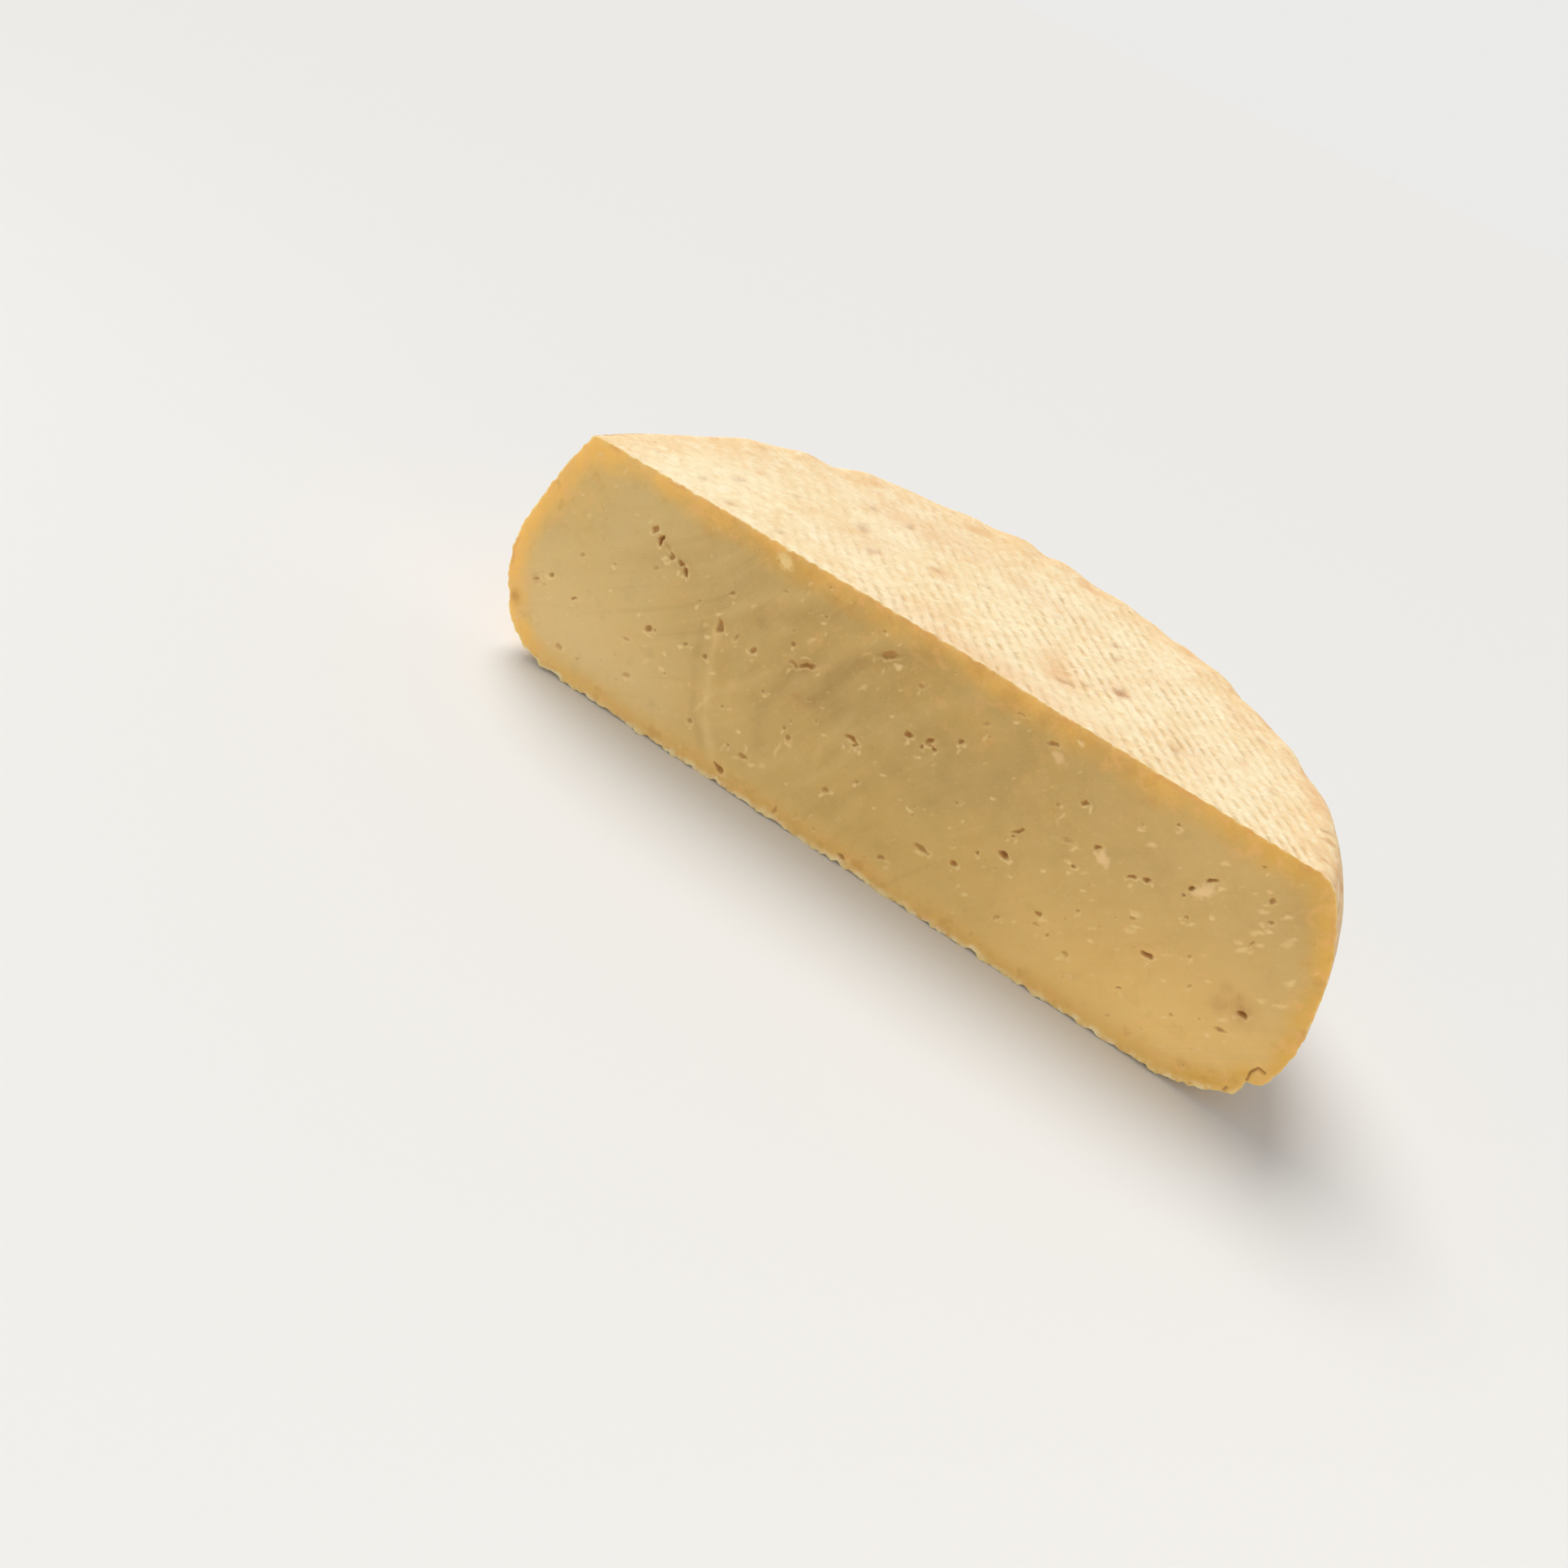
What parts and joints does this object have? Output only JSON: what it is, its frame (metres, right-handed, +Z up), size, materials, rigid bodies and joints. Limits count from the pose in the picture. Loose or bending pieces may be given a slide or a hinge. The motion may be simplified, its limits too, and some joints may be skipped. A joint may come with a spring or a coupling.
{
  "type": "half cheese wheel",
  "caption": "Half of a pressed farmhouse cheese wheel with a cloth-marked natural rind and a straight knife cut that shows pale yellow paste with small openings.",
  "frame": {"origin": "middle of the bounding box, on the flat lower face that the cheese lies on", "axes": "+Z up through the cheese's thickness, along the wheel's own axis; +X along the knife cut; +Y from the cut face to the far side of the rind, so the cut face looks along -Y"},
  "size_m": [0.2504, 0.1264, 0.0711],
  "materials": {
    "cheese": "semi-firm cheese: slightly moist pale yellow paste on the cut, dry cream rind with cloth marks"
  },
  "bodies": {
    "root": {"cheese_half_wheel": "cheese"}
  },
  "joints": []
}
